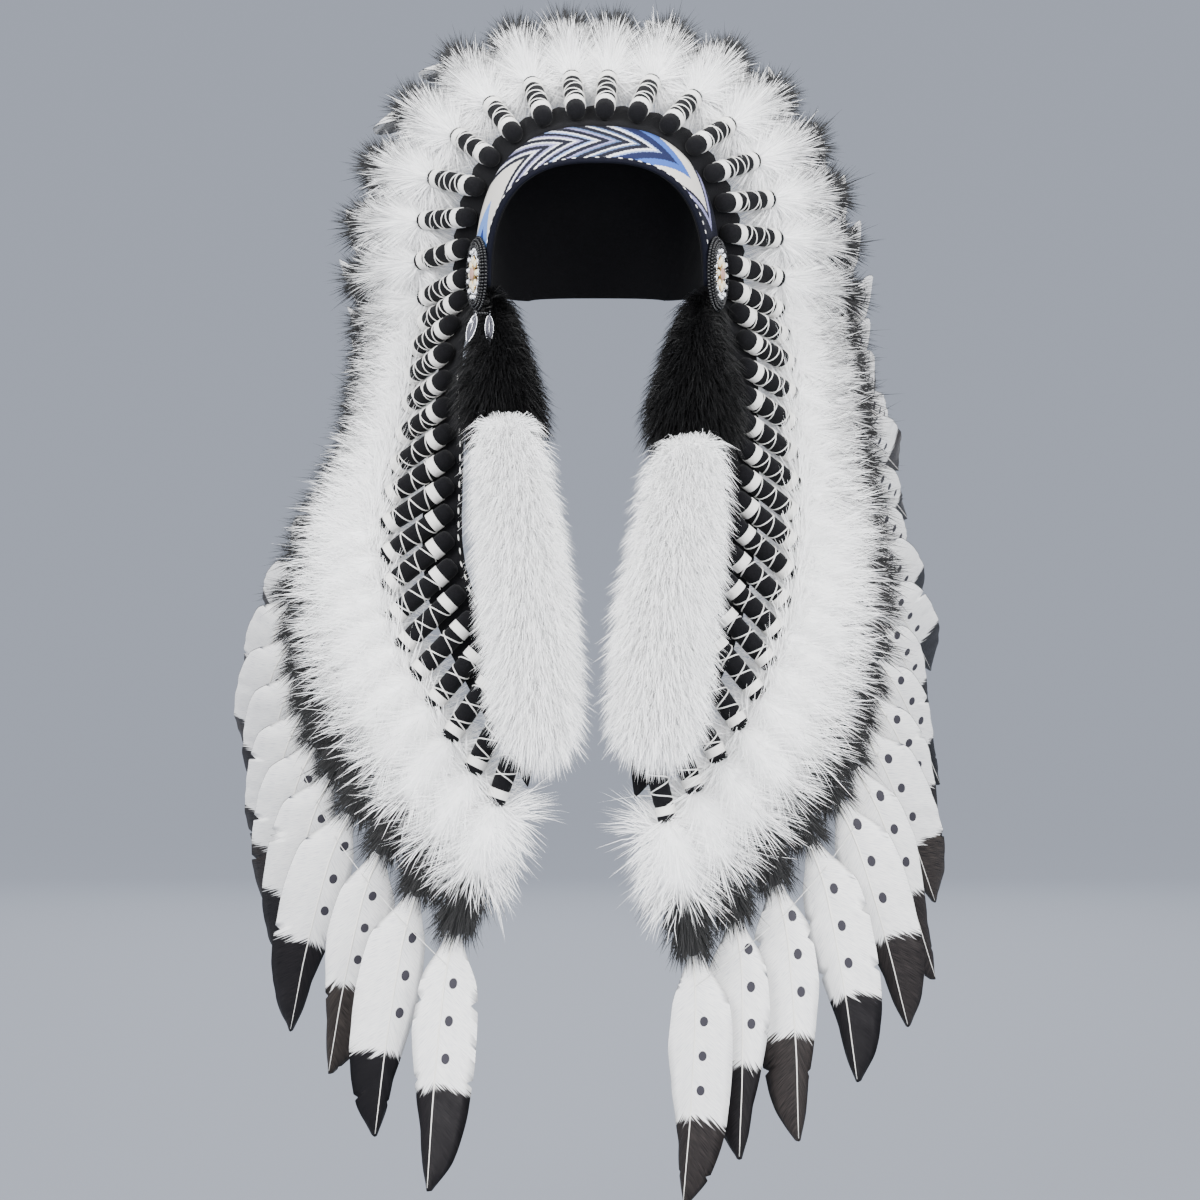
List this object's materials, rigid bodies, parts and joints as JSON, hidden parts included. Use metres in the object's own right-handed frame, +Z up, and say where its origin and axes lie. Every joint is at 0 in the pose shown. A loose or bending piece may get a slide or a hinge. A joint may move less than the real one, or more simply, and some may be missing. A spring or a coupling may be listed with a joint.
{
  "type": "feathered headdress",
  "caption": "Long feathered headdress with a felt cap, woven headband, fur ruff, two trailers and two fur drops, held as worn.",
  "frame": {"origin": "crown of the wearer's head, inside the top of the cap", "axes": "+Z up, -Y towards the face, +X across the head to the right of a viewer in front"},
  "size_m": [0.5537, 0.514, 0.9025],
  "materials": {
    "black_felt": "matte felt",
    "woven_band": "woven chevrons in white, blue and navy",
    "bead_rosette": "black seed beads with clear stones",
    "silver_metal": "satin cast metal",
    "black_fur": "glossy short fur",
    "white_fur": "long soft fur",
    "white_feather": "dressed feather, felt wrap and fur ruff"
  },
  "bodies": {
    "root": {"cap": "black_felt", "headband": "woven_band", "rosette_left": "bead_rosette", "rosette_right": "bead_rosette", "metal_drops_left": "silver_metal", "cheek_fur_left": "black_fur", "cheek_fur_right": "black_fur", "fur_drop_left": "white_fur", "fur_drop_right": "white_fur", "feather_left_25": "white_feather", "feather_left_24": "white_feather", "feather_left_23": "white_feather", "feather_left_22": "white_feather", "feather_left_21": "white_feather", "feather_left_20": "white_feather", "feather_left_19": "white_feather", "feather_left_18": "white_feather", "feather_left_17": "white_feather", "feather_left_16": "white_feather", "feather_left_15": "white_feather", "feather_left_14": "white_feather", "feather_left_13": "white_feather", "feather_left_12": "white_feather", "feather_left_11": "white_feather", "feather_left_10": "white_feather", "feather_left_09": "white_feather", "feather_left_08": "white_feather", "feather_left_07": "white_feather", "feather_left_06": "white_feather", "feather_left_05": "white_feather", "feather_left_04": "white_feather", "feather_left_03": "white_feather", "feather_left_02": "white_feather", "feather_left_01": "white_feather", "feather_right_01": "white_feather", "feather_right_02": "white_feather", "feather_right_03": "white_feather", "feather_right_04": "white_feather", "feather_right_05": "white_feather", "feather_right_06": "white_feather", "feather_right_07": "white_feather", "feather_right_08": "white_feather", "feather_right_09": "white_feather", "feather_right_10": "white_feather", "feather_right_11": "white_feather", "feather_right_12": "white_feather", "feather_right_13": "white_feather", "feather_right_14": "white_feather", "feather_right_15": "white_feather", "feather_right_16": "white_feather", "feather_right_17": "white_feather", "feather_right_18": "white_feather", "feather_right_19": "white_feather", "feather_right_20": "white_feather", "feather_right_21": "white_feather", "feather_right_22": "white_feather", "feather_right_23": "white_feather", "feather_right_24": "white_feather", "feather_right_25": "white_feather", "feather_right_26": "white_feather"}
  },
  "joints": []
}
